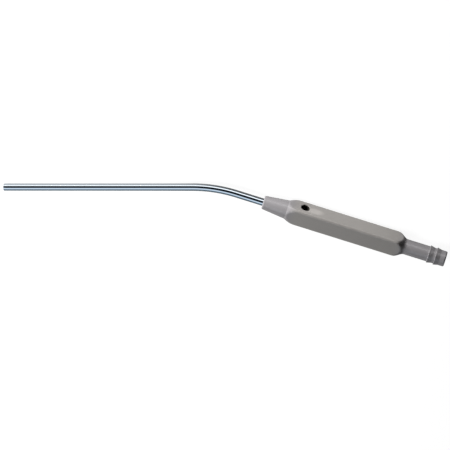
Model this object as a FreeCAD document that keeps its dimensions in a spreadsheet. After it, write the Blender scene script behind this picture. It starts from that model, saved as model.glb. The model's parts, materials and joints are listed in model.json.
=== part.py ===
"""Frazier suction tube: a bent stainless steel tube set in a moulded plastic handle.

The handle's axis is the local X axis. The front of its nose is at X = 0 and the hose end is at +X. The vent
faces local +Y and the tube bends in the local XY plane, its tip towards -Y. Both pieces are then laid down
together as the instrument comes to rest on a table: rolled about the handle's axis until the tube's tip and
one rounded edge of the grip touch the table. Lengths are in millimetres and angles in degrees.
"""
import FreeCAD, Part
import os

import Sketcher
from FreeCAD import Placement, Rotation, Vector

doc = FreeCAD.newDocument("frazier_suction_tube")

# Driving dimensions
SIZES = {
    # The steel tube, from its seat in the handle to its tip
    "tube_outer_dia": 4.2,
    "tube_wall": 0.3,
    "tube_nose_run": 15.35,
    "tube_bend_radius": 65.0,
    "tube_bend_angle": 21.65,
    "tube_tip_run": 108.2,
    "tube_tip_rounding": 0.13,
    # The round nose that holds the tube
    "nose_length": 13.75,
    "nose_front_dia": 7.55,
    "nose_rear_dia": 10.55,
    "nose_edge_rounding": 0.85,
    # The square grip and its turned shoulders
    "grip_side": 11.3,
    "grip_corner_radius": 2.15,
    "grip_corner_turning": 0.1,
    "front_shoulder_length": 7.3,
    "grip_length": 54.35,
    "rear_shoulder_radius": 6.5,
    "rear_shoulder_slope": 33.0,
    "neck_blend_radius": 3.0,
    # The finger dish and the vent at its middle
    "vent_position": 23.3,
    "vent_dia": 5.1,
    "vent_rim_rounding": 0.2,
    "dish_length": 19.0,
    "dish_width": 7.4,
    "dish_depth": 0.5,
    # The hose connector
    "connector_length": 23.75,
    "connector_dia": 8.66,
    "connector_edge_rounding": 0.35,
    "barb_dia": 9.9,
    "barb_length": 2.7,
    "barb_pitch": 3.9,
    "barb_count": 2,
    "barb_end_land": 3.25,
    # The way through the handle
    "socket_clearance": 0.02,
    "socket_depth": 18.4,
    "throat_length": 1.4,
    "lumen_dia": 6.0,
    "lumen_edge_chamfer": 0.25,
}

sheet = doc.addObject("Spreadsheet::Sheet", "sizes")
for row, (alias, size) in enumerate(SIZES.items(), start=1):
    sheet.set(f"A{row}", alias)
    sheet.set(f"B{row}", str(size))
    sheet.setAlias(f"B{row}", alias)
doc.recompute()

# Sizes that follow from the driving ones, written as expressions on the sheet
TUBE_RADIUS = "sizes.tube_outer_dia / 2"
TUBE_BORE = "(sizes.tube_outer_dia - 2 * sizes.tube_wall)"
GRIP_HALF = "(sizes.grip_side / 2)"
CORNER_OFFSET = f"({GRIP_HALF} - sizes.grip_corner_radius)"
TURNED_RADIUS = f"({CORNER_OFFSET} * sqrt(2) + sizes.grip_corner_radius + sizes.grip_corner_turning)"
FRONT_SHOULDER_END = "(sizes.nose_length + sizes.front_shoulder_length)"
REAR_SHOULDER_START = f"({FRONT_SHOULDER_END} + sizes.grip_length)"
SHOULDER_FALL = f"({TURNED_RADIUS} - sizes.connector_dia / 2)"
SHOULDER_ROUND_FALL = "(sizes.rear_shoulder_radius * (1 - cos(sizes.rear_shoulder_slope)))"
NECK = (
    f"({REAR_SHOULDER_START} + sizes.rear_shoulder_radius * sin(sizes.rear_shoulder_slope)"
    f" + ({SHOULDER_FALL} - {SHOULDER_ROUND_FALL}) / tan(sizes.rear_shoulder_slope))"
)
HANDLE_LENGTH = f"({NECK} + sizes.connector_length)"

# The sketcher's own numbers for a curve's points and for the sketch's axes and origin
START, END, CENTRE = 1, 2, 3
ACROSS, UP = -1, -2
ORIGIN = (ACROSS, START)

# Places and radii that differ by less than this are the same
NEAR = 0.01


def value(expression):
    """The number that an expression on the sheet gives now."""
    return float(sheet.evalExpression(expression))


def new_body(label):
    """An empty body, with the name that its file gets."""
    body = doc.addObject("PartDesign::Body", label)
    body.Label = label
    return body


def new_sketch(body, name, plane, offset=None):
    """A sketch on one of the body's own origin planes, moved along the plane's normal by an expression."""
    sketch = body.newObject("Sketcher::SketchObject", name)
    support = [feature for feature in body.Origin.OriginFeatures if feature.Role == plane]
    sketch.AttachmentSupport = [(support[0], "")]
    sketch.MapMode = "FlatFace"
    if offset:
        sketch.setExpression("AttachmentOffset.Base.z", offset)
    return sketch


def tie(sketch, kind, *where):
    """A rule between curves of a sketch that has no size."""
    sketch.addConstraint(Sketcher.Constraint(kind, *where))


def chain(sketch, kind, *ends):
    """Joins curve ends pair by pair, each written as (curve, end)."""
    for first, second in zip(ends[::2], ends[1::2]):
        tie(sketch, kind, *first, *second)


def dimension(sketch, kind, *where, size):
    """A dimension of a sketch, bound to an expression on the sheet."""
    now = FreeCAD.Units.Quantity(f"{value(size)} deg") if kind == "Angle" else value(size)
    index = sketch.addConstraint(Sketcher.Constraint(kind, *where, now))
    sketch.setExpression(f"Constraints[{index}]", size)


def place_point(sketch, curve, point, across, up):
    """Fixes one point of a curve at two distances from the sketch's origin."""
    for kind, size, axis in (("DistanceX", across, UP), ("DistanceY", up, ACROSS)):
        if size == "0":
            tie(sketch, "PointOnObject", curve, point, axis)
        else:
            dimension(sketch, kind, *ORIGIN, curve, point, size=size)


def draw_outline(sketch, corners):
    """A closed outline of straight lines through corners given as pairs of expressions."""
    points = [Vector(value(across), value(up), 0) for across, up in corners]
    onward = points[1:] + points[:1]
    lines = [sketch.addGeometry(Part.LineSegment(*pair), False) for pair in zip(points, onward)]
    for line, following, corner in zip(lines, lines[1:] + lines[:1], corners):
        tie(sketch, "Coincident", line, END, following, START)
        place_point(sketch, line, START, *corner)


def draw_circle(sketch, diameter, across="0"):
    """A circle of one diameter, at a distance along the sketch's own first axis."""
    centre = Vector(value(across), 0, 0)
    circle = sketch.addGeometry(Part.Circle(centre, Vector(0, 0, 1), value(diameter) / 2), False)
    place_point(sketch, circle, CENTRE, across, "0")
    dimension(sketch, "Diameter", circle, size=diameter)


def revolve(body, kind, name, sketch, axis="H_Axis"):
    """A full turn of a sketch about one of its axes, added to the body or cut from it."""
    feature = body.newObject(kind, name)
    feature.Profile = sketch
    feature.ReferenceAxis = (sketch, [axis])
    feature.Angle = 360.0
    doc.recompute()
    return feature


def round_edges(body, name, size, wanted, kind="PartDesign::Fillet"):
    """Rounds or chamfers the edges of the body's last feature that pass the test."""
    base = body.Tip
    edges = [f"Edge{i}" for i, edge in enumerate(base.Shape.Edges, start=1) if wanted(edge)]
    feature = body.newObject(kind, name)
    feature.Base = (base, edges)
    feature.setExpression("Radius" if kind == "PartDesign::Fillet" else "Size", size)
    doc.recompute()


def circle_at(station, radius):
    """A test for the circular edge about the X axis at one station, with one radius."""

    def wanted(edge):
        curve = edge.Curve
        return (
            isinstance(curve, Part.Circle)
            and abs(curve.Center.x - value(station)) < NEAR
            and abs(curve.Radius - value(radius)) < NEAR
        )

    return wanted


def suction_tube():
    """A thin-walled steel tube, bent once near the handle, with a smooth square-cut tip."""
    body = new_body("suction_tube")

    path = new_sketch(body, "tube_path", "XY_Plane")
    seat = value("sizes.socket_depth")
    bend = Vector(-value("sizes.tube_nose_run"), 0, 0)
    radius = value("sizes.tube_bend_radius")
    centre = bend + Vector(0, -radius, 0)
    along_tip = Rotation(Vector(0, 0, 1), value("sizes.tube_bend_angle")).multVec(Vector(-1, 0, 0))
    across_tip = Rotation(Vector(0, 0, 1), value("sizes.tube_bend_angle")).multVec(Vector(0, 1, 0))
    leave = centre + across_tip * radius
    tip = leave + along_tip * value("sizes.tube_tip_run")
    middle = centre + (Vector(0, 1, 0) + across_tip).normalize() * radius
    run_in, turn, run_out = path.addGeometry(
        [
            Part.LineSegment(Vector(seat, 0, 0), bend),
            Part.Arc(bend, middle, leave),
            Part.LineSegment(leave, tip),
        ],
        False,
    )
    # The arc runs anticlockwise, from the handle's side to the tip's
    chain(path, "Tangent", (run_in, END), (turn, START), (turn, END), (run_out, START))
    tie(path, "PointOnObject", run_in, START, ACROSS)
    tie(path, "PointOnObject", run_in, END, ACROSS)
    dimension(path, "DistanceX", *ORIGIN, run_in, START, size="sizes.socket_depth")
    dimension(path, "DistanceX", run_in, END, *ORIGIN, size="sizes.tube_nose_run")
    dimension(path, "Radius", turn, size="sizes.tube_bend_radius")
    dimension(path, "Angle", ACROSS, END, run_out, START, size="sizes.tube_bend_angle")
    dimension(path, "Distance", run_out, size="sizes.tube_tip_run")

    section = new_sketch(body, "tube_section", "YZ_Plane", offset="sizes.socket_depth")
    draw_circle(section, "sizes.tube_outer_dia")
    draw_circle(section, TUBE_BORE)
    doc.recompute()

    wall = body.newObject("PartDesign::AdditivePipe", "tube_wall")
    wall.Profile = section
    wall.Spine = (path, ["Edge1", "Edge2", "Edge3"])
    doc.recompute()

    def at_tip(edge):
        curve = edge.Curve
        return (
            isinstance(curve, Part.Circle)
            and abs(curve.Radius - value(TUBE_RADIUS)) < NEAR
            and (curve.Center - tip).Length < NEAR
        )

    round_edges(body, "smooth_tip", "sizes.tube_tip_rounding", at_tip)
    return body


def turned_form(body):
    """The handle's round form: nose, shoulders, grip at its corners, and the connector's barrel."""
    sketch = new_sketch(body, "handle_profile", "XY_Plane")
    nose_front = Vector(0, value("sizes.nose_front_dia") / 2, 0)
    nose_rear = Vector(value("sizes.nose_length"), value("sizes.nose_rear_dia") / 2, 0)
    grip_front = Vector(value(FRONT_SHOULDER_END), value(TURNED_RADIUS), 0)
    grip_rear = Vector(value(REAR_SHOULDER_START), value(TURNED_RADIUS), 0)
    neck = Vector(value(NECK), value("sizes.connector_dia") / 2, 0)
    end = Vector(value(HANDLE_LENGTH), value("sizes.connector_dia") / 2, 0)

    # The front shoulder ends level with the grip, so its centre stands straight below that end
    rise = grip_front.y - nose_rear.y
    run = grip_front.x - nose_rear.x
    front_radius = (run**2 + rise**2) / (2 * rise)
    front_centre = grip_front - Vector(0, front_radius, 0)
    front_middle = (nose_rear + grip_front) / 2 - front_centre
    rear_centre = grip_rear - Vector(0, value("sizes.rear_shoulder_radius"), 0)
    slope = value("sizes.rear_shoulder_slope")
    leave = rear_centre + Rotation(Vector(0, 0, 1), -slope).multVec(grip_rear - rear_centre)
    halfway = rear_centre + Rotation(Vector(0, 0, 1), -slope / 2).multVec(grip_rear - rear_centre)

    face, nose, front, grip, rear, slope_line, barrel, back, axis = sketch.addGeometry(
        [
            Part.LineSegment(Vector(0, 0, 0), nose_front),
            Part.LineSegment(nose_front, nose_rear),
            Part.Arc(nose_rear, front_centre + front_middle.normalize() * front_radius, grip_front),
            Part.LineSegment(grip_front, grip_rear),
            Part.Arc(grip_rear, halfway, leave),
            Part.LineSegment(leave, neck),
            Part.LineSegment(neck, end),
            Part.LineSegment(end, Vector(end.x, 0, 0)),
            Part.LineSegment(Vector(end.x, 0, 0), Vector(0, 0, 0)),
        ],
        False,
    )
    tie(sketch, "Coincident", face, START, *ORIGIN)
    # Both arcs run clockwise, so each one's own start is its rear end
    chain(sketch, "Coincident", (face, END), (nose, START), (nose, END), (front, END))
    chain(sketch, "Tangent", (front, START), (grip, START), (grip, END), (rear, END))
    chain(sketch, "Tangent", (rear, START), (slope_line, START))
    chain(sketch, "Coincident", (slope_line, END), (barrel, START), (barrel, END), (back, START))
    chain(sketch, "Coincident", (back, END), (axis, START), (axis, END), (face, START))
    for line in (face, back):
        tie(sketch, "Vertical", line)
    for line in (grip, barrel, axis):
        tie(sketch, "Horizontal", line)
    dimension(sketch, "DistanceY", *ORIGIN, face, END, size="sizes.nose_front_dia / 2")
    dimension(sketch, "DistanceX", *ORIGIN, nose, END, size="sizes.nose_length")
    dimension(sketch, "DistanceY", *ORIGIN, nose, END, size="sizes.nose_rear_dia / 2")
    dimension(sketch, "DistanceX", nose, END, grip, START, size="sizes.front_shoulder_length")
    dimension(sketch, "DistanceY", *ORIGIN, grip, START, size=TURNED_RADIUS)
    dimension(sketch, "DistanceX", grip, START, grip, END, size="sizes.grip_length")
    dimension(sketch, "Radius", rear, size="sizes.rear_shoulder_radius")
    dimension(sketch, "Angle", barrel, START, slope_line, END, size="180 - sizes.rear_shoulder_slope")
    dimension(sketch, "DistanceY", *ORIGIN, barrel, START, size="sizes.connector_dia / 2")
    dimension(sketch, "DistanceX", barrel, START, barrel, END, size="sizes.connector_length")
    doc.recompute()
    revolve(body, "PartDesign::Revolution", "turned_form", sketch)


def grip_flats(body):
    """Four flats cut along the turned form leave the rounded square grip, with scalloped shoulders."""
    sketch = new_sketch(body, "grip_section", "YZ_Plane")
    half = value(GRIP_HALF)
    inset = value(CORNER_OFFSET)
    radius = value("sizes.grip_corner_radius")
    quarter = Rotation(Vector(0, 0, 1), 90)
    start = Vector(half, -inset, 0)
    stop = Vector(half, inset, 0)
    corner = Vector(inset, inset, 0)
    diagonal = corner + Vector(1, 1, 0).normalize() * radius
    flats, bends = [], []
    for side in range(4):
        turned = quarter.multVec(start)
        flats.append(sketch.addGeometry(Part.LineSegment(start, stop), False))
        bends.append(sketch.addGeometry(Part.Arc(stop, diagonal, turned), False))
        start, stop, diagonal = turned, quarter.multVec(stop), quarter.multVec(diagonal)
    for flat, bend, following in zip(flats, bends, flats[1:] + flats[:1]):
        chain(sketch, "Tangent", (flat, END), (bend, START), (bend, END), (following, START))
    for bend in bends[1:]:
        tie(sketch, "Equal", bends[0], bend)
    right, top, left, bottom = flats
    for flat in (right, left):
        tie(sketch, "Vertical", flat)
    for flat in (top, bottom):
        tie(sketch, "Horizontal", flat)
    dimension(sketch, "Radius", bends[0], size="sizes.grip_corner_radius")
    dimension(sketch, "DistanceX", *ORIGIN, right, START, size=GRIP_HALF)
    dimension(sketch, "DistanceY", *ORIGIN, top, START, size=GRIP_HALF)
    dimension(sketch, "DistanceX", left, START, *ORIGIN, size=GRIP_HALF)
    dimension(sketch, "DistanceY", bottom, START, *ORIGIN, size=GRIP_HALF)
    # A circle beyond the turned form, so that the pocket takes away all that lies outside the square
    draw_circle(sketch, "2 * sizes.grip_side")
    doc.recompute()

    pocket = body.newObject("PartDesign::Pocket", "grip_flats")
    pocket.Profile = sketch
    pocket.Type = "Length"
    pocket.Reversed = True
    pocket.setExpression("Length", HANDLE_LENGTH)
    doc.recompute()


def hose_barbs(body):
    """Barbs that point their steps at the grip, so that a hose pushed over them stays on."""
    sketch = new_sketch(body, "barb_profile", "XY_Plane")
    step = (
        f"({HANDLE_LENGTH} - sizes.barb_end_land - sizes.barb_length"
        " - sizes.barb_pitch * (sizes.barb_count - 1))"
    )
    draw_outline(
        sketch,
        [
            (step, "sizes.lumen_dia / 2"),
            (step, "sizes.barb_dia / 2"),
            (f"{step} + sizes.barb_length", "sizes.connector_dia / 2"),
            (f"{step} + sizes.barb_length", "sizes.lumen_dia / 2"),
        ],
    )
    doc.recompute()
    barb = revolve(body, "PartDesign::Revolution", "barb", sketch)
    row = body.newObject("PartDesign::LinearPattern", "barbs")
    row.Originals = [barb]
    row.Direction = (sketch, ["H_Axis"])
    row.Mode = "Spacing"
    row.setExpression("Offset", "sizes.barb_pitch")
    row.setExpression("Occurrences", "sizes.barb_count")
    body.Tip = row
    doc.recompute()


def finger_dish(body):
    """A shallow oval dish round the vent: an arc turned about a line that stands above the grip."""
    sketch = new_sketch(body, "dish_profile", "XY_Plane")
    above = "((sizes.dish_width / 2) ^ 2 - sizes.dish_depth ^ 2) / (2 * sizes.dish_depth)"
    line_height = value(f"{GRIP_HALF} + {above}")
    front = Vector(value("sizes.vent_position - sizes.dish_length / 2"), value(GRIP_HALF), 0)
    rear = Vector(value("sizes.vent_position + sizes.dish_length / 2"), value(GRIP_HALF), 0)
    bottom = Vector(value("sizes.vent_position"), value(f"{GRIP_HALF} - sizes.dish_depth"), 0)
    front_top = Vector(front.x, line_height, 0)
    rear_top = Vector(rear.x, line_height, 0)
    hollow, rear_side, top, front_side = sketch.addGeometry(
        [
            Part.Arc(front, bottom, rear),
            Part.LineSegment(rear, rear_top),
            Part.LineSegment(rear_top, front_top),
            Part.LineSegment(front_top, front),
        ],
        False,
    )
    # The arc runs anticlockwise from the front
    chain(sketch, "Coincident", (hollow, END), (rear_side, START), (rear_side, END), (top, START))
    chain(sketch, "Coincident", (top, END), (front_side, START), (front_side, END), (hollow, START))
    tie(sketch, "Vertical", rear_side)
    tie(sketch, "Vertical", front_side)
    tie(sketch, "Horizontal", top)
    place_point(sketch, hollow, START, "sizes.vent_position - sizes.dish_length / 2", GRIP_HALF)
    place_point(sketch, hollow, END, "sizes.vent_position + sizes.dish_length / 2", GRIP_HALF)
    hollow_radius = "((sizes.dish_length / 2) ^ 2 + sizes.dish_depth ^ 2) / (2 * sizes.dish_depth)"
    dimension(sketch, "Radius", hollow, size=hollow_radius)
    dimension(sketch, "DistanceY", *ORIGIN, top, START, size=f"{GRIP_HALF} + {above}")
    axis = sketch.addGeometry(Part.LineSegment(front_top, rear_top), True)
    chain(sketch, "Coincident", (axis, START), (top, END), (axis, END), (top, START))
    doc.recompute()
    revolve(body, "PartDesign::Groove", "finger_dish", sketch, axis="Axis0")


def way_through(body):
    """The socket for the tube, a throat as wide as its bore that it stands against, and the lumen."""
    sketch = new_sketch(body, "lumen_profile", "XY_Plane")
    socket = f"({TUBE_RADIUS} + sizes.socket_clearance)"
    throat_end = "(sizes.socket_depth + sizes.throat_length)"
    draw_outline(
        sketch,
        [
            ("0", "0"),
            ("0", socket),
            ("sizes.socket_depth", socket),
            ("sizes.socket_depth", f"{TUBE_BORE} / 2"),
            (throat_end, f"{TUBE_BORE} / 2"),
            (throat_end, "sizes.lumen_dia / 2"),
            (HANDLE_LENGTH, "sizes.lumen_dia / 2"),
            (HANDLE_LENGTH, "0"),
        ],
    )
    doc.recompute()
    revolve(body, "PartDesign::Groove", "way_through", sketch)


def vent_port(body):
    """A round port from the floor of the dish into the lumen, which a fingertip closes."""
    sketch = new_sketch(body, "vent_circle", "XZ_Plane")
    draw_circle(sketch, "sizes.vent_dia", across="sizes.vent_position")
    doc.recompute()
    vent = body.newObject("PartDesign::Pocket", "vent_port")
    vent.Profile = sketch
    vent.Type = "Length"
    vent.setExpression("Length", "sizes.grip_side")
    doc.recompute()


def handle():
    """One moulding in hard grey plastic: nose, grip with a vent, and a barbed hose connector."""
    body = new_body("handle")
    turned_form(body)
    grip_flats(body)
    nose_edge = circle_at("0", "sizes.nose_front_dia / 2")
    round_edges(body, "nose_edge", "sizes.nose_edge_rounding", nose_edge)
    round_edges(body, "neck_blend", "sizes.neck_blend_radius", circle_at(NECK, "sizes.connector_dia / 2"))
    connector_edge = circle_at(HANDLE_LENGTH, "sizes.connector_dia / 2")
    round_edges(body, "connector_edge", "sizes.connector_edge_rounding", connector_edge)
    hose_barbs(body)
    way_through(body)
    lumen_edge = circle_at(HANDLE_LENGTH, "sizes.lumen_dia / 2")
    round_edges(body, "lumen_edge", "sizes.lumen_edge_chamfer", lumen_edge, kind="PartDesign::Chamfer")
    finger_dish(body)
    vent_port(body)

    def on_vent_rim(edge):
        box = edge.BoundBox
        return (
            box.YMin > value(f"{GRIP_HALF} - 2 * sizes.dish_depth")
            and abs(box.Center.x - value("sizes.vent_position")) < value("sizes.vent_dia / 2")
            and box.XLength < value("sizes.vent_dia") + NEAR
        )

    round_edges(body, "vent_rim", "sizes.vent_rim_rounding", on_vent_rim)
    return body


def lay_down(body):
    """Rolls a piece about the handle's axis to its pose of rest, with the origin below the middle."""
    drop = (
        "(sizes.tube_bend_radius * (1 - cos(sizes.tube_bend_angle))"
        " + sizes.tube_tip_run * sin(sizes.tube_bend_angle))"
    )
    reach = (
        "(sizes.tube_nose_run + sizes.tube_bend_radius * sin(sizes.tube_bend_angle)"
        " + sizes.tube_tip_run * cos(sizes.tube_bend_angle))"
    )
    # The tip's centre hangs beside the grip's lower edge by this much, and the two must touch one plane
    beside = f"({drop} - {CORNER_OFFSET})"
    roll = (
        f"(atan2({CORNER_OFFSET}; {beside})"
        f" + asin((sizes.grip_corner_radius - {TUBE_RADIUS}) / sqrt({beside} ^ 2 + {CORNER_OFFSET} ^ 2)))"
    )
    corner_reach = f"({CORNER_OFFSET} * (cos({roll}) + sin({roll})) + sizes.grip_corner_radius)"
    tip_reach = (
        f"({drop} * cos({roll})"
        f" + {TUBE_RADIUS} * sqrt(1 - (sin(sizes.tube_bend_angle) * cos({roll})) ^ 2))"
    )
    body.Placement = Placement(Vector(0, 0, 0), Rotation(Vector(1, 0, 0), value(roll)))
    body.setExpression("Placement.Rotation.Angle", roll)
    body.setExpression(
        "Placement.Base.x", f"({reach} + {TUBE_RADIUS} * sin(sizes.tube_bend_angle) - {HANDLE_LENGTH}) / 2"
    )
    body.setExpression("Placement.Base.y", f"({tip_reach} - {corner_reach}) / 2")
    body.setExpression("Placement.Base.z", corner_reach)


pieces = [suction_tube(), handle()]
for piece in pieces:
    lay_down(piece)
doc.recompute()

for item in doc.Objects:
    if "Invalid" in item.State or "Error" in item.State:
        raise RuntimeError(f"{item.Name} failed to build: {item.State}")
for piece in pieces:
    if piece.Shape.isNull() or not piece.Shape.isValid() or len(piece.Shape.Solids) != 1:
        raise RuntimeError(f"{piece.Label} is not one valid solid")

os.makedirs("parts", exist_ok=True)
for piece in pieces:
    piece.Shape.exportStep(f"parts/{piece.Label}.step")
    box = piece.Shape.BoundBox
    print(f"{piece.Label}: {piece.Shape.Volume:.1f} mm3, {box}")
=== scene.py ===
"""The looks of a Frazier suction tube, a bent stainless steel tube in a moulded plastic handle, lying on a table."""
import json
import math

import bpy
import numpy as np
from mathutils import Matrix, Vector


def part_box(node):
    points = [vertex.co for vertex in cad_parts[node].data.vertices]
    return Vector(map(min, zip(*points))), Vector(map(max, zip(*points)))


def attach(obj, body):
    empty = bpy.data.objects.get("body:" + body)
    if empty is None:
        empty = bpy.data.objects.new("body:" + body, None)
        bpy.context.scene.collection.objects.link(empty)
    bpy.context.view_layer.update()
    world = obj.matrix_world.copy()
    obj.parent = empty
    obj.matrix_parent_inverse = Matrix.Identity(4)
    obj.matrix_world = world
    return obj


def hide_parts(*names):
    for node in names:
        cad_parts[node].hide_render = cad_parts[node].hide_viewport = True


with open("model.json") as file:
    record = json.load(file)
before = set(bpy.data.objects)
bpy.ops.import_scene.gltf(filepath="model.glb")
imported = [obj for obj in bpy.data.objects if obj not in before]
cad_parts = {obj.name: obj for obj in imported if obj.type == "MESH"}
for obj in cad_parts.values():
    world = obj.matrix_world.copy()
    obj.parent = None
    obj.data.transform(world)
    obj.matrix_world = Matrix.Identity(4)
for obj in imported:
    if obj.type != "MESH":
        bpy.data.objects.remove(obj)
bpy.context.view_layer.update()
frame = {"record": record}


# HOW THE INSTRUMENT LIES
# Both pieces are worked out in millimetres on the handle's own axes: u runs back along the handle from the front
# of its nose, w points out of the vent and v points up. The instrument lies rolled about u, on one rounded edge of
# the grip and the tip of the tube, and its mounts say where the axis is and how far it is rolled.
mounts = {mount["name"]: mount for mount in frame["record"]["mounts"]}
NOSE_FRONT = np.array([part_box("handle")[0][0], *mounts["hose_connector"]["pos_m"][1:]])
TIP_RUN_AXIS = mounts["tube_tip"]["axis"]
ROLL = math.atan2(-TIP_RUN_AXIS[2], -TIP_RUN_AXIS[1])


def lay_down(u, w, v):
    """Points on the handle's axes, in mm, turned by the roll about u and moved to the table, in metres."""
    y = w * math.cos(ROLL) - v * math.sin(ROLL)
    z = w * math.sin(ROLL) + v * math.cos(ROLL)
    return np.stack([u, y, z], axis=-1) / 1000 + NOSE_FRONT


# THE HANDLE
# One injection moulding in hard grey ABS: a tapered round nose that holds the tube, a square grip with rounded
# corners and turned shoulders, a shallow dish for the fingertip round the vent, and a barbed connector for the
# suction hose. A cored way runs through it, and the tube is pushed into its front end.
# The nose, the grip and its shoulders
NOSE_LENGTH = 13.75
NOSE_FRONT_RADIUS = 3.775
NOSE_REAR_RADIUS = 5.275
NOSE_EDGE = 0.85
FRONT_SHOULDER = 7.3
GRIP_LENGTH = 54.35
GRIP_HALF = 5.4
GRIP_CORNER = 1.3
CORNER_TURNING = 0.1
REAR_ARC = 6.5
REAR_SLOPE = math.radians(33)
NECK_BLEND = 3.0
SOFT_EDGE = 0.45
# The vent and the finger dish
VENT_AT = 23.3
VENT_RADIUS = 2.55
VENT_RIM = 0.2
DISH_AT = VENT_AT + 1.0
DISH_LENGTH = 18.0
DISH_WIDTH = 7.4
DISH_DEPTH = 0.35
DISH_FOLLOWED = 0.7 * DISH_LENGTH
DISH_EDGE = 0.12
# The hose connector and its barbs
CONNECTOR_LENGTH = 23.75
CONNECTOR_RADIUS = 4.33
CONNECTOR_EDGE = 0.7
BARB_RADIUS = 4.95
BARB_LENGTH = 2.7
BARB_PITCH = 3.9
BARB_END_LAND = 3.25
BARB_CREST = 0.14
BARB_FOOT = 0.06
# The way through
SOCKET_RADIUS = 2.12
SOCKET_DEPTH = 18.4
THROAT_RADIUS = 1.8
THROAT_LENGTH = 1.4
LUMEN_RADIUS = 3.0
LUMEN_CHAMFER = 0.25

# Stations and radii that follow from these
CORNER_CENTRE = GRIP_HALF - GRIP_CORNER
TURNED_RADIUS = CORNER_CENTRE * math.sqrt(2) + GRIP_CORNER + CORNER_TURNING
GRIP_START = NOSE_LENGTH + FRONT_SHOULDER
GRIP_END = GRIP_START + GRIP_LENGTH
REAR_ARC_END = GRIP_END + REAR_ARC * math.sin(REAR_SLOPE)
REAR_ARC_LEAVES = TURNED_RADIUS - REAR_ARC * (1 - math.cos(REAR_SLOPE))
NECK = REAR_ARC_END + (REAR_ARC_LEAVES - CONNECTOR_RADIUS) / math.tan(REAR_SLOPE)
BLEND_END = NECK + NECK_BLEND * math.tan(REAR_SLOPE / 2)
BLEND_START = BLEND_END - NECK_BLEND * math.sin(REAR_SLOPE)
HANDLE_LENGTH = NECK + CONNECTOR_LENGTH
BARB_STEPS = HANDLE_LENGTH - BARB_END_LAND - BARB_LENGTH - BARB_PITCH * np.array([1, 0])
THROAT_END = SOCKET_DEPTH + THROAT_LENGTH


def soft_least(a, b, width):
    """The lesser of two heights, with the edge where they cross rounded off over a width."""
    near = np.clip(1 - np.abs(a - b) / width, 0, 1)
    return np.minimum(a, b) - near**2 * width / 4


def turned_radius(u):
    """Radius of the turned form at each station.

    The nose is a cone. An arc rises from it and ends level with the grip's corners, the grip is a cylinder, an arc
    and a straight slope fall from it, and a hollow blend runs out on the connector's barrel.
    """
    cone = NOSE_FRONT_RADIUS + (NOSE_REAR_RADIUS - NOSE_FRONT_RADIUS) * u / NOSE_LENGTH
    rise = TURNED_RADIUS - NOSE_REAR_RADIUS
    run = GRIP_START - NOSE_LENGTH
    front_arc = (run**2 + rise**2) / (2 * rise)
    front = TURNED_RADIUS - front_arc + np.sqrt(front_arc**2 - np.clip(GRIP_START - u, 0, run) ** 2)
    past_grip = np.clip(u - GRIP_END, 0, REAR_ARC_END - GRIP_END)
    rear = TURNED_RADIUS - REAR_ARC + np.sqrt(REAR_ARC**2 - past_grip**2)
    slope = REAR_ARC_LEAVES - (u - REAR_ARC_END) * math.tan(REAR_SLOPE)
    hollow = CONNECTOR_RADIUS + NECK_BLEND - np.sqrt(NECK_BLEND**2 - np.clip(BLEND_END - u, 0, NECK_BLEND) ** 2)
    return np.select(
        [u < NOSE_LENGTH, u < GRIP_START, u < GRIP_END, u < REAR_ARC_END, u < BLEND_START, u < BLEND_END],
        [cone, front, TURNED_RADIUS, rear, slope, hollow],
        CONNECTOR_RADIUS,
    )


def square_radius(angle):
    """Distance from the axis to the rounded square: half the side over the cosine on a flat, a circle at a corner."""
    from_flat = np.abs((angle + math.pi / 4) % (math.pi / 2) - math.pi / 4)
    flat = GRIP_HALF / np.cos(from_flat)
    away = CORNER_CENTRE * math.sqrt(2)
    off = from_flat - math.pi / 4
    corner = away * np.cos(off) + np.sqrt(np.maximum(GRIP_CORNER**2 - (away * np.sin(off)) ** 2, 0))
    return np.where(np.tan(from_flat) < CORNER_CENTRE / GRIP_HALF, flat, corner)


def dish_height(u, v):
    """Height of the finger dish over the axis: a long arc turned about a line that stands above the grip.

    The arc gives the bottom at each station, and across the grip the dish is a circle about the line through that
    bottom. The arc is followed a little past the dish's ends, where it already stands above the grip.
    """
    arc = ((DISH_LENGTH / 2) ** 2 + DISH_DEPTH**2) / (2 * DISH_DEPTH)
    line = GRIP_HALF + ((DISH_WIDTH / 2) ** 2 - DISH_DEPTH**2) / (2 * DISH_DEPTH)
    off = np.clip(u - DISH_AT, -DISH_FOLLOWED, DISH_FOLLOWED)
    bottom = GRIP_HALF - DISH_DEPTH + arc - np.sqrt(arc**2 - off**2)
    return line - np.sqrt((line - bottom) ** 2 - v**2)


def arc_points(centre, radius, start, stop, count):
    """Points of a profile's arc as (station, radius) rows, from one angle to another about its centre."""
    angle = np.radians(np.linspace(start, stop, count))
    return np.stack([centre[0] + radius * np.cos(angle), centre[1] + radius * np.sin(angle)], axis=1)


def along(start, stop, step):
    """Stations from start to stop at about one step, both ends included."""
    return np.linspace(start, stop, max(2, round((stop - start) / step) + 1))


# Columns round the handle: evenly across each flat and evenly round each corner, from one edge of the vent's flat
FLAT_CELLS = 16
CORNER_CELLS = 12
across_flat = np.arctan2(np.linspace(-CORNER_CENTRE, CORNER_CENTRE, FLAT_CELLS + 1)[:-1], GRIP_HALF)
corner_turn = np.linspace(0, math.pi / 2, CORNER_CELLS + 1)[:-1]
round_corner = np.arctan2(
    CORNER_CENTRE + GRIP_CORNER * np.sin(corner_turn), CORNER_CENTRE + GRIP_CORNER * np.cos(corner_turn)
)
quarter = np.concatenate([across_flat, round_corner])
outer_angle = np.concatenate([quarter + side * math.pi / 2 for side in range(4)])

# The way through needs its columns closer together where the vent opens into it
flat_edge = -across_flat[0]
PORT_SPREAD = math.radians(75)
lumen_angle = np.interp(
    outer_angle,
    [-flat_edge, flat_edge, 2 * math.pi - flat_edge],
    [-PORT_SPREAD, PORT_SPREAD, 2 * math.pi - PORT_SPREAD],
)

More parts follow.
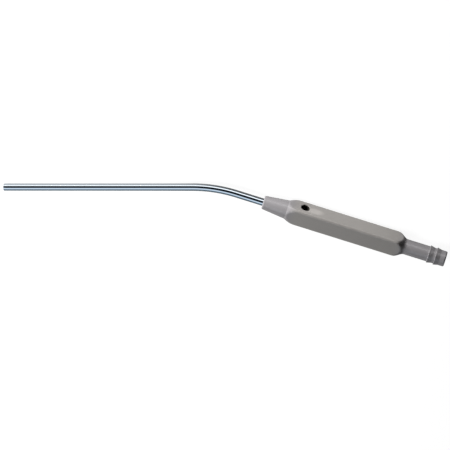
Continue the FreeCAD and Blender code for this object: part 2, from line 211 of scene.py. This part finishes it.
# Rows along the outside, from the socket's mouth over the nose, grip and connector to the hose end. They stand
# closer together where the form turns quickly.
VENT_BLOCK = 3.6
vent_rows = np.linspace(VENT_AT - VENT_BLOCK, VENT_AT + VENT_BLOCK, FLAT_CELLS + 1)
stations = np.unique(np.round(np.concatenate([
    along(NOSE_EDGE, NOSE_LENGTH - 0.4, step=0.55),
    along(NOSE_LENGTH - 0.4, vent_rows[0], step=0.14),
    vent_rows,
    along(vent_rows[-1], GRIP_END - 1, step=0.6),
    along(GRIP_END - 1, BLEND_END, step=0.12),
    along(BLEND_END, BARB_STEPS[0] - 0.1, step=0.5),
]), 6))
nose_face = np.stack([np.zeros(4), np.linspace(SOCKET_RADIUS, NOSE_FRONT_RADIUS - NOSE_EDGE, 4)], axis=1)
nose_round = arc_points((NOSE_EDGE, turned_radius(NOSE_EDGE) - NOSE_EDGE), NOSE_EDGE, 180, 90, 9)[1:-1]
outside = [nose_face, nose_round, np.stack([stations, turned_radius(stations)], axis=1)]
for step in BARB_STEPS:
    # A square step that faces the grip, a crest rounded by wear of the mould, and a slope that lets the hose ride up
    fall = math.atan2(BARB_RADIUS - CONNECTOR_RADIUS, BARB_LENGTH)
    crest = arc_points((step + BARB_CREST, BARB_RADIUS - BARB_CREST), BARB_CREST, 180, 90 - math.degrees(fall), 7)
    ramp = along(step + 2 * BARB_CREST, step + BARB_LENGTH, step=0.3)
    outside += [
        arc_points((step - BARB_FOOT, CONNECTOR_RADIUS + BARB_FOOT), BARB_FOOT, -90, 0, 4),
        crest,
        np.stack([ramp, BARB_RADIUS - (ramp - step) * math.tan(fall)], axis=1)[1:],
    ]
    land_end = step + BARB_PITCH - 0.1 if step == BARB_STEPS[0] else HANDLE_LENGTH - CONNECTOR_EDGE
    land = along(step + BARB_LENGTH + 0.15, land_end, step=0.4)
    outside.append(np.stack([land, np.full_like(land, CONNECTOR_RADIUS)], axis=1))
end_centre = (HANDLE_LENGTH - CONNECTOR_EDGE, CONNECTOR_RADIUS - CONNECTOR_EDGE)
outside.append(arc_points(end_centre, CONNECTOR_EDGE, 90, 0, 8)[1:])
chamfer_radius = LUMEN_RADIUS + LUMEN_CHAMFER
outside.append(np.array([[HANDLE_LENGTH, r] for r in np.linspace(end_centre[1], chamfer_radius, 4)[1:]]))
outside = np.concatenate(outside)

# Rows of the way through, from the hose end forward: lumen, throat and socket
PORT_BLOCK = 3.0
port_rows = np.linspace(VENT_AT + PORT_BLOCK, VENT_AT - PORT_BLOCK, FLAT_CELLS + 1)
behind_port = along(port_rows[0], HANDLE_LENGTH - LUMEN_CHAMFER, step=1.5)[::-1]
lumen = np.concatenate([behind_port[:-1], port_rows, [THROAT_END]])
inside = np.concatenate([
    np.stack([lumen, np.full_like(lumen, LUMEN_RADIUS)], axis=1),
    [[THROAT_END, THROAT_RADIUS], [SOCKET_DEPTH, THROAT_RADIUS]],
    [[u, SOCKET_RADIUS] for u in along(0.6, SOCKET_DEPTH, step=1.2)[::-1]],
])

# Every row and column of the moulding at once, then the dish pressed into the vent's side. Inside, the columns
# are drawn together from the tube's seat to just behind the vent, and spread out evenly again towards both ends.
DRAWN_TOGETHER = ([2, SOCKET_DEPTH, 27, 60], [0, 1, 1, 0])
rows = np.concatenate([outside, inside])
warp = np.concatenate([np.zeros(len(outside)), np.interp(inside[:, 0], *DRAWN_TOGETHER)])
row_u = rows[:, :1]
angle = outer_angle + warp[:, None] * (lumen_angle - outer_angle)
radius = soft_least(rows[:, 1:], square_radius(angle), SOFT_EDGE)
grid_v = radius * np.sin(angle)
grid_w = soft_least(radius * np.cos(angle), dish_height(row_u, grid_v), DISH_EDGE)
grid_points = np.stack([np.broadcast_to(row_u, angle.shape), grid_w, grid_v], axis=-1)


def grid_faces(count_rows, count_columns):
    """Quads of a grid that closes on itself both ways, row by row, wound so that they face out."""
    row, column = np.meshgrid(np.arange(count_rows), np.arange(count_columns), indexing="ij")
    next_row, next_column = (row + 1) % count_rows, (column + 1) % count_columns
    corners = [(row, column), (row, next_column), (next_row, next_column), (next_row, column)]
    return np.stack([r * count_columns + c for r, c in corners], axis=-1)


def loop_round_block(first_row, row_step):
    """Grid indices round a square block of cells, from one corner forward, across, back and across again."""
    count = FLAT_CELLS
    climb, level = np.arange(count), np.full(count, count)
    forward = np.concatenate([climb, level, count - climb, level * 0])
    across = np.concatenate([level * 0, climb, level, count - climb])
    return (first_row + row_step * forward) * len(outer_angle) + across


# The vent is let into the grid by a patch: rings that pass from a square block of cells on the flat to the round
# rim, over its rounding, down the port's wall and out to a block of cells of the way through
vent_first = int(np.argmin(np.abs(outside[:, 0] - vent_rows[0]) + np.abs(outside[:, 1] - TURNED_RADIUS)))
port_last = len(outside) + len(behind_port) - 1 + FLAT_CELLS
vent_loop = loop_round_block(vent_first, 1)
port_loop = loop_round_block(port_last, -1)
flat_points = grid_points.reshape(-1, 3)
off_u = flat_points[vent_loop, 0] - VENT_AT
off_v = flat_points[vent_loop, 2]
bearing = np.arctan2(off_v, off_u)
rim_radius = VENT_RADIUS + VENT_RIM
rings = []
# Out of the square block to the round rim, on the dish
for share in np.linspace(0, 1, 8)[1:]:
    u = VENT_AT + off_u + share * (rim_radius * np.cos(bearing) - off_u)
    v = off_v + share * (rim_radius * np.sin(bearing) - off_v)
    rings.append(np.stack([u, soft_least(np.full_like(u, GRIP_HALF), dish_height(u, v), DISH_EDGE), v], axis=1))
rim_height = rings[-1][:, 1]
# Over the rim's rounding
for turn in np.radians(np.linspace(0, 90, 7)[1:]):
    reach = rim_radius - VENT_RIM * math.sin(turn)
    height = rim_height - VENT_RIM * (1 - math.cos(turn))
    rings.append(np.stack([VENT_AT + reach * np.cos(bearing), height, reach * np.sin(bearing)], axis=1))
# Down the port's wall to the lumen
PORT_WALL_FROM = len(rings)
port_v = VENT_RADIUS * np.sin(bearing)
port_bottom = np.sqrt(LUMEN_RADIUS**2 - port_v**2)
for share in np.linspace(0, 1, 7)[1:]:
    height = rim_height - VENT_RIM + share * (port_bottom - rim_height + VENT_RIM)
    rings.append(np.stack([VENT_AT + VENT_RADIUS * np.cos(bearing), height, port_v], axis=1))
# And out over the lumen towards its block of cells
port_turn = np.arcsin(port_v / LUMEN_RADIUS)
block_u = flat_points[port_loop, 0]
block_turn = np.arctan2(flat_points[port_loop, 2], flat_points[port_loop, 1])
for share in (0.35, 0.7):
    u = VENT_AT + VENT_RADIUS * np.cos(bearing) * (1 - share) + share * (block_u - VENT_AT)
    turn = port_turn + share * (block_turn - port_turn)
    rings.append(np.stack([u, LUMEN_RADIUS * np.cos(turn), LUMEN_RADIUS * np.sin(turn)], axis=1))

# The faces of the grid without the two blocks, and the faces between one ring and the next
cells = grid_faces(len(rows), len(outer_angle))
keep = np.ones(cells.shape[:2], bool)
keep[vent_first:vent_first + FLAT_CELLS, :FLAT_CELLS] = False
keep[port_last - FLAT_CELLS:port_last, :FLAT_CELLS] = False
ring_index = [vent_loop]
ring_index += [len(flat_points) + i * len(vent_loop) + np.arange(len(vent_loop)) for i in range(len(rings))]
ring_index.append(port_loop)
patch = [
    np.stack([outer, inner, np.roll(inner, -1), np.roll(outer, -1)], axis=1)
    for outer, inner in zip(ring_index[:-1], ring_index[1:])
]


SHARP_EDGE = math.radians(50)


def make_piece(name, points, quads, **marks):
    """A mesh object from points in metres and quads, smooth but for sharp edges, with a number marked on each point."""
    used, quads = np.unique(quads, return_inverse=True)
    mesh = bpy.data.meshes.new(name)
    mesh.from_pydata(points[used].tolist(), [], quads.reshape(-1, 4).tolist())
    mesh.shade_smooth()
    mesh.set_sharp_from_angle(angle=SHARP_EDGE)
    for mark, values in marks.items():
        mesh.attributes.new(mark, "FLOAT", "POINT").data.foreach_set("value", values[used])
    piece = bpy.data.objects.new(name, mesh)
    bpy.context.collection.objects.link(piece)
    return piece


# The way through, from the port's wall and the hose end's chamfer inwards, is marked with 1; the handle's material
# paints shade there
way_through = np.concatenate([
    np.zeros(outside.shape[0] * len(outer_angle)), np.ones(inside.shape[0] * len(outer_angle)),
    *[np.full(len(vent_loop), float(i >= PORT_WALL_FROM)) for i in range(len(rings))],
])
handle_points = np.concatenate([flat_points, *rings])
handle = make_piece(
    "moulded_handle",
    lay_down(handle_points[:, 0], handle_points[:, 1], handle_points[:, 2]),
    np.concatenate([cells[keep], *patch]),
    way_through=way_through,
)


def linear(hex_colour):
    """A colour written as an sRGB hex value, turned to the linear value that a shader takes."""
    parts = np.array([int(hex_colour[i:i + 2], 16) for i in (1, 3, 5)]) / 255
    bent = np.where(parts <= 0.04045, parts / 12.92, ((parts + 0.055) / 1.055) ** 2.4)
    return (*bent, 1.0)


def add(tree, kind, links=(), **settings):
    """A node with its settings and its links (input, node, output).

    A setting is an attribute of the node, or the constant of an input, whose spaces are written as underscores.
    """
    node = tree.nodes.new(kind)
    for name, value in settings.items():
        socket = name.replace("_", " ")
        if socket in node.inputs:
            node.inputs[socket].default_value = value
        else:
            setattr(node, name, value)
    for target, source, output in links:
        tree.links.new(source.outputs[output], node.inputs[target])
    return node


# Injection-moulded ABS, coloured right through. The mould was polished and then lightly blasted, so the surface is
# satin: it keeps a wide soft sheen with no sharp reflection, and its grain only just breaks that up.
ENDS_GREY = "#A09D9F"
GRIP_GREY = "#A6A29E"
# A paler grey painted behind the vent as a highlight
PAINTED_HIGHLIGHT_GREY = "#BBB6B2"
# A dark grey painted into the way through as its shade
PAINTED_SHADE_GREY = "#3C3A36"
CLOUD_SHADE = "#F3F3F3"
CLOUD_MM = 11
# How far from the grip's middle the warmer grey reaches
GRIP_TINT_REACH_MM = 60
# Where the painted highlight sits behind the vent, and how far it reaches
HIGHLIGHT_BEHIND_VENT = 5.2
HIGHLIGHT_UP = 0.9
HIGHLIGHT_REACH = np.array([6.5, 4.0, 3.2])
GRAIN_MM = 0.5
abs_grey = bpy.data.materials.new("moulded_abs_satin_grey")
abs_grey.use_nodes = True
tree = abs_grey.node_tree
tree.nodes.clear()
place = add(tree, "ShaderNodeTexCoord")
# The grey is a little warmer and lighter over the middle of the grip, and cooler towards the nose and the connector
grip_middle = lay_down(np.array((GRIP_START + GRIP_END) / 2), np.array(0.0), np.array(0.0)) * 1000
from_middle = add(
    tree, "ShaderNodeMapping", [("Vector", place, "Object")],
    Location=(-grip_middle[0] / GRIP_TINT_REACH_MM, 0, 0), Scale=(1000 / GRIP_TINT_REACH_MM, 1, 1),
)
near_middle = add(tree, "ShaderNodeTexGradient", [("Vector", from_middle, "Vector")], gradient_type="SPHERICAL")
towards_grip_middle = add(
    tree, "ShaderNodeMapRange", [("Value", near_middle, "Fac")],
    interpolation_type="SMOOTHSTEP", From_Min=0.42, From_Max=0.55,
)
grip_tinted_grey = add(
    tree, "ShaderNodeMix", [("Factor", towards_grip_middle, "Result")],
    data_type="RGBA", A=linear(ENDS_GREY), B=linear(GRIP_GREY),
)
# Painted highlight: a paler patch behind the vent, low on the finger dish, stands in for the light that the dish's
# slope catches there
highlight_centre = lay_down(np.array(VENT_AT + HIGHLIGHT_BEHIND_VENT), np.array(GRIP_HALF), np.array(HIGHLIGHT_UP)) * 1000
from_highlight = add(
    tree, "ShaderNodeMapping", [("Vector", place, "Object")],
    Location=tuple(-highlight_centre / HIGHLIGHT_REACH), Scale=tuple(1000 / HIGHLIGHT_REACH),
)
near_highlight = add(tree, "ShaderNodeTexGradient", [("Vector", from_highlight, "Vector")], gradient_type="SPHERICAL")
painted_highlight = add(
    tree, "ShaderNodeMapRange", [("Value", near_highlight, "Fac")], interpolation_type="SMOOTHSTEP", From_Max=0.6
)
pigment_and_highlight = add(
    tree, "ShaderNodeMix", [("Factor", painted_highlight, "Result"), ("A", grip_tinted_grey, "Result")],
    data_type="RGBA", B=linear(PAINTED_HIGHLIGHT_GREY),
)
# Cloudiness of the pigment over about a centimetre
clouds = add(tree, "ShaderNodeTexNoise", [("Vector", place, "Object")], Scale=1000 / CLOUD_MM, Detail=2.0)
shade = add(
    tree, "ShaderNodeMix", [("Factor", clouds, "Fac")], data_type="RGBA", A=linear(CLOUD_SHADE), B=(1, 1, 1, 1)
)
skin = add(
    tree, "ShaderNodeMix", [("A", pigment_and_highlight, "Result"), ("B", shade, "Result")],
    data_type="RGBA", blend_type="MULTIPLY", Factor=1.0,
)
# Painted shade: the way through is coloured dark grey, standing in for the shade deep inside the bore and the port
way_through_shade = add(tree, "ShaderNodeAttribute", attribute_name="way_through")
colour = add(
    tree, "ShaderNodeMix", [("Factor", way_through_shade, "Fac"), ("A", skin, "Result")],
    data_type="RGBA", B=linear(PAINTED_SHADE_GREY),
)
# The blasted grain is finer than a tenth of a millimetre; it is drawn at half a millimetre so that it shows
grain = add(tree, "ShaderNodeTexNoise", [("Vector", place, "Object")], Scale=1000 / GRAIN_MM, Detail=3.0)
sheen = add(tree, "ShaderNodeMapRange", [("Value", grain, "Fac")], To_Min=0.26, To_Max=0.34)
relief = add(tree, "ShaderNodeBump", [("Height", grain, "Fac")], Strength=0.25, Distance=0.00002)
surface = add(
    tree, "ShaderNodeBsdfPrincipled",
    [("Base Color", colour, "Result"), ("Roughness", sheen, "Result"), ("Normal", relief, "Normal")],
    IOR=1.52,
)
add(tree, "ShaderNodeOutputMaterial", [("Surface", surface, "BSDF")])
handle.data.materials.append(abs_grey)

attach(handle, "root")
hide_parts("handle")


# THE STEEL TUBE
# Thin-walled stainless steel tube, drawn, cut square, bent once over a former and polished. Its tip is rounded
# inside and out so that it is smooth to the touch, and its other end is pressed home in the handle's socket.
TUBE_RADIUS = 2.1
TUBE_BORE = 1.8
NOSE_RUN = 15.35
BEND_RADIUS = 65.0
BEND_ANGLE = math.radians(21.65)
TIP_RUN = 108.2
TIP_ROUNDING = 0.13
BEND_START = SOCKET_DEPTH + NOSE_RUN
BEND_END = BEND_START + BEND_RADIUS * BEND_ANGLE
TUBE_LENGTH = BEND_END + TIP_RUN
ROUND_CELLS = 96


def tube_path(distance):
    """Where the tube's centre line is, and the direction square to it in the bend's plane, after a distance.

    The line runs forward from the seat, turns about a centre on the far side from the vent, and runs on straight.
    """
    turned = np.clip(distance - BEND_START, 0, BEND_END - BEND_START) / BEND_RADIUS
    beyond = np.maximum(distance - BEND_END, 0)
    u = SOCKET_DEPTH - np.minimum(distance, BEND_START) - BEND_RADIUS * np.sin(turned) - beyond * np.cos(turned)
    w = -BEND_RADIUS * (1 - np.cos(turned)) - beyond * np.sin(turned)
    return u, w, -np.sin(turned), np.cos(turned)


# The wall's profile as (distance from the seat, radius): out along the outside, over the tip and back along the bore
tip_edge = TUBE_LENGTH - TIP_ROUNDING
wall = np.concatenate([
    [[s, TUBE_RADIUS] for s in along(0, BEND_START, step=1.5)],
    [[s, TUBE_RADIUS] for s in along(BEND_START, BEND_END, step=0.3)[1:]],
    [[s, TUBE_RADIUS] for s in along(BEND_END, tip_edge, step=1.5)[1:]],
    arc_points((tip_edge, TUBE_RADIUS - TIP_ROUNDING), TIP_ROUNDING, 90, 0, 6)[1:],
    arc_points((tip_edge, TUBE_BORE + TIP_ROUNDING), TIP_ROUNDING, 0, -90, 6),
    [[s, TUBE_BORE] for s in along(BEND_END, tip_edge, step=4)[::-1][1:]],
    [[s, TUBE_BORE] for s in along(BEND_START, BEND_END, step=1)[::-1][1:]],
    [[s, TUBE_BORE] for s in along(0, BEND_START, step=4)[::-1][1:]],
])
round_tube = np.arange(ROUND_CELLS) * 2 * math.pi / ROUND_CELLS
line_u, line_w, square_u, square_w = (part[:, None] for part in tube_path(wall[:, 0]))
out = wall[:, 1:] * np.cos(round_tube)
tube_points = lay_down(
    line_u + square_u * out, line_w + square_w * out, wall[:, 1:] * np.sin(round_tube)
).reshape(-1, 3)
tube_cells = grid_faces(len(wall), ROUND_CELLS)[..., ::-1]
tube = make_piece("polished_steel_tube", tube_points, tube_cells)

# The map that the polishing marks follow: millimetres along the tube and millimetres round it
unwrapped = tube.data.uv_layers.new(name="along_and_round")
corner_row, corner_column = np.divmod(tube_cells.reshape(-1, 4), ROUND_CELLS)
corner_column = np.where((corner_column == 0) & (corner_column.max(axis=1)[:, None] > 1), ROUND_CELLS, corner_column)
unwrapped.data.foreach_set("uv", np.stack([
    wall[corner_row, 0], corner_column * 2 * math.pi * TUBE_RADIUS / ROUND_CELLS,
], axis=-1).ravel())

# Polished stainless steel, type 304. The belt leaves lines along the tube that are finer than the eye can part, so
# it mirrors the room almost sharply, and only draws each reflection out a little round the tube.
STEEL = "#C9D1D8"
LINE_MM = 0.25
LINE_LENGTH_MM = 25
steel = bpy.data.materials.new("polished_stainless_steel")
steel.use_nodes = True
tree = steel.node_tree
tree.nodes.clear()
unwrap = add(tree, "ShaderNodeUVMap", uv_map="along_and_round")
stretch = add(
    tree, "ShaderNodeMapping", [("Vector", unwrap, "UV")], Scale=(1 / LINE_LENGTH_MM, 1 / LINE_MM, 1)
)
lines = add(tree, "ShaderNodeTexNoise", [("Vector", stretch, "Vector")], Scale=1.0, Detail=2.0)
polish = add(tree, "ShaderNodeMapRange", [("Value", lines, "Fac")], To_Min=0.03, To_Max=0.08)
scratches = add(tree, "ShaderNodeBump", [("Height", lines, "Fac")], Strength=0.15, Distance=0.000004)
surface = add(
    tree, "ShaderNodeBsdfPrincipled",
    [("Roughness", polish, "Result"), ("Normal", scratches, "Normal")],
    Metallic=1.0, Base_Color=linear(STEEL),
)
add(tree, "ShaderNodeOutputMaterial", [("Surface", surface, "BSDF")])
tube.data.materials.append(steel)

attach(tube, "root")
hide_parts("suction_tube")


# THE TABLE
# A light table under the instrument: opal glass lit from below, which the camera sees as white. Its panels are lit
# unevenly, and that shows in reflections alone: they glow under the tube's straight run and under the grip, and
# hardly at all under the bend and past the hose end, which draws the dark lines at the edges there.
TABLE_HALF = 3.0
SEEN_GLOW = 0.92
MIRRORED_GLOW = [
    (-0.06, 0.52), (-0.035, 0.48), (0.0, 0.04), (0.03, 0.05), (0.046, 0.68), (0.086, 0.68), (0.1, 0.05), (0.2, 0.0),
]
table = make_piece(
    "table",
    np.array([[x, y, 0] for x, y in ((-1, -1), (1, -1), (1, 1), (-1, 1))]) * TABLE_HALF,
    np.array([[0, 1, 2, 3]]),
)
opal = bpy.data.materials.new("opal_glass_light_table")
opal.use_nodes = True
tree = opal.node_tree
tree.nodes.clear()
place = add(tree, "ShaderNodeTexCoord")
parts = add(tree, "ShaderNodeSeparateXYZ", [("Vector", place, "Object")])
# The curve gives the glow at each place along the instrument, in metres, and runs on level past its ends
panels = add(tree, "ShaderNodeFloatCurve", [("Value", parts, "X")])
panels.mapping.clip_min_x = -1.0
curve = panels.mapping.curves[0]
for point, at in zip(curve.points, MIRRORED_GLOW[:2]):
    point.location = at
for at in MIRRORED_GLOW[2:]:
    curve.points.new(*at)
panels.mapping.update()
ray = add(tree, "ShaderNodeLightPath")
mirrored = add(tree, "ShaderNodeMath", [(0, ray, "Is Glossy Ray"), (1, panels, "Value")], operation="MULTIPLY")
glow = add(
    tree, "ShaderNodeMath", [(0, ray, "Is Camera Ray"), (2, mirrored, "Value")], operation="MULTIPLY_ADD"
)
glow.inputs[1].default_value = SEEN_GLOW
lit = add(tree, "ShaderNodeEmission", [("Strength", glow, "Value")])
matt = add(tree, "ShaderNodeBsdfDiffuse", Color=linear("#808080"))
both = add(tree, "ShaderNodeAddShader", [(0, lit, "Emission"), (1, matt, "BSDF")])
add(tree, "ShaderNodeOutputMaterial", [("Surface", both, "Shader")])
table.data.materials.append(opal)


# THE LIGHT
# A small white studio, seen in reflections alone. A long low white card stands beyond the vent's side and a pale
# sheet hangs overhead; between them the room is dark, which draws the dark line along the tube. The far side is dim.
# Each band is given by degrees up from the vent's side of the table, over the top and down to the other side.
BANDS = [
    (0, "#FFFFFF"), (17, "#FFFFFF"), (31, "#12181E"), (85, "#0A1016"), (99, "#B8C2CC"), (122, "#B4BEC9"),
    (136, "#48545C"), (180, "#505E66"),
]
world = bpy.data.worlds.new("studio")
bpy.context.scene.world = world
world.use_nodes = True
tree = world.node_tree
tree.nodes.clear()
toward = add(tree, "ShaderNodeTexCoord")
parts = add(tree, "ShaderNodeSeparateXYZ", [("Vector", toward, "Generated")])
turn = add(tree, "ShaderNodeMath", [(0, parts, "Z"), (1, parts, "Y")], operation="ARCTAN2")
half_turns = add(tree, "ShaderNodeMath", [(0, turn, "Value")], operation="DIVIDE")
half_turns.inputs[1].default_value = math.pi
studio = add(tree, "ShaderNodeValToRGB", [("Fac", half_turns, "Value")])
ramp = studio.color_ramp
while len(ramp.elements) < len(BANDS):
    ramp.elements.new(0.5)
for element, (degrees, hex_colour) in zip(ramp.elements, BANDS):
    element.position = degrees / 180
    element.color = linear(hex_colour)
# The room falls dark straight behind the hose end
strength = add(
    tree, "ShaderNodeMapRange", [("Value", parts, "X")], From_Min=0.85, From_Max=0.55, To_Min=0.15, To_Max=2.15
)
room = add(tree, "ShaderNodeBackground", [("Color", studio, "Color"), ("Strength", strength, "Result")])
dark = add(tree, "ShaderNodeBackground", Strength=0.0)
white = add(tree, "ShaderNodeBackground", Color=(1, 1, 1, 1), Strength=1.0)
ray = add(tree, "ShaderNodeLightPath")
mirrored = add(
    tree, "ShaderNodeMixShader", [(0, ray, "Is Glossy Ray"), (1, dark, "Background"), (2, room, "Background")]
)
seen = add(
    tree, "ShaderNodeMixShader", [(0, ray, "Is Camera Ray"), (1, mirrored, "Shader"), (2, white, "Background")]
)
add(tree, "ShaderNodeOutputWorld", [("Surface", seen, "Shader")])

# Three lamps light the plastic from the tube's end: a long strip that stands low beyond the vent's side, a soft box
# overhead and a weaker one on the far side. Each is given by its bearing from the handle (0 is straight ahead of the
# nose, 90 the vent's side), how high it stands in degrees, its width and height in metres, and its power in watts.
LAMPS = [
    (38, 2, 0.2, 0.03, 3.3),
    (-10, 50, 0.2, 0.2, 1.4),
    (-50, 8, 0.2, 0.12, 1.2),
]
# They face a point on the handle's axis from half a metre away.
LAMP_AWAY = 0.5
LAMPS_FACE = 45.0
faced = Vector(lay_down(np.array(LAMPS_FACE), np.array(0.0), np.array(0.0)))
for bearing_degrees, rise_degrees, width, height, watts in LAMPS:
    bearing, rise = math.radians(bearing_degrees), math.radians(rise_degrees)
    level = math.cos(rise)
    towards = Vector((-math.cos(bearing) * level, math.sin(bearing) * level, math.sin(rise)))
    light = bpy.data.lights.new("soft_box", "AREA")
    light.shape = "RECTANGLE"
    light.size = width
    light.size_y = height
    light.energy = watts
    soft_box = bpy.data.objects.new("soft_box", light)
    soft_box.location = faced + towards * LAMP_AWAY
    soft_box.rotation_mode = "QUATERNION"
    soft_box.rotation_quaternion = towards.to_track_quat("Z", "Y")
    soft_box.visible_camera = False
    soft_box.visible_glossy = False
    bpy.context.collection.objects.link(soft_box)


# THE CAMERA
# A long lens well above the table on the vent's side, rolled so that the straight run of the tube lies level. The
# picture's centre stands off a point on the axis by the two lengths in CENTRE_OFF, to the right and up.
ELEVATION = math.radians(51.5) + ROLL
CAMERA_ROLL = math.radians(17.35)
LENS_MM = 500
SENSOR_MM = 36
VIEW_WIDTH_MM = 248.4
AIMED_FROM = 1.326
CENTRE_OFF = (-22.3, -12.2)
towards_camera = Vector((0, math.cos(ELEVATION), math.sin(ELEVATION)))
level_up = Vector((0, math.sin(ELEVATION), -math.cos(ELEVATION)))
picture_right = Vector((math.cos(CAMERA_ROLL), 0, 0)) + level_up * math.sin(CAMERA_ROLL)
picture_up = Vector((-math.sin(CAMERA_ROLL), 0, 0)) + level_up * math.cos(CAMERA_ROLL)
aimed_off = (picture_right * CENTRE_OFF[0] + picture_up * CENTRE_OFF[1]) / 1000
target = Vector(lay_down(np.array(AIMED_FROM), np.array(0.0), np.array(0.0))) + aimed_off
lens = bpy.data.cameras.new("camera")
lens.lens = LENS_MM
lens.sensor_width = SENSOR_MM
lens.clip_end = 20
camera = bpy.data.objects.new("camera", lens)
camera.rotation_mode = "QUATERNION"
camera.rotation_quaternion = Matrix((picture_right, picture_up, towards_camera)).transposed().to_quaternion()
camera.location = target + towards_camera * (VIEW_WIDTH_MM / 1000 * LENS_MM / SENSOR_MM)
bpy.context.collection.objects.link(camera)
bpy.context.scene.camera = camera
bpy.context.scene.view_settings.view_transform = "Standard"
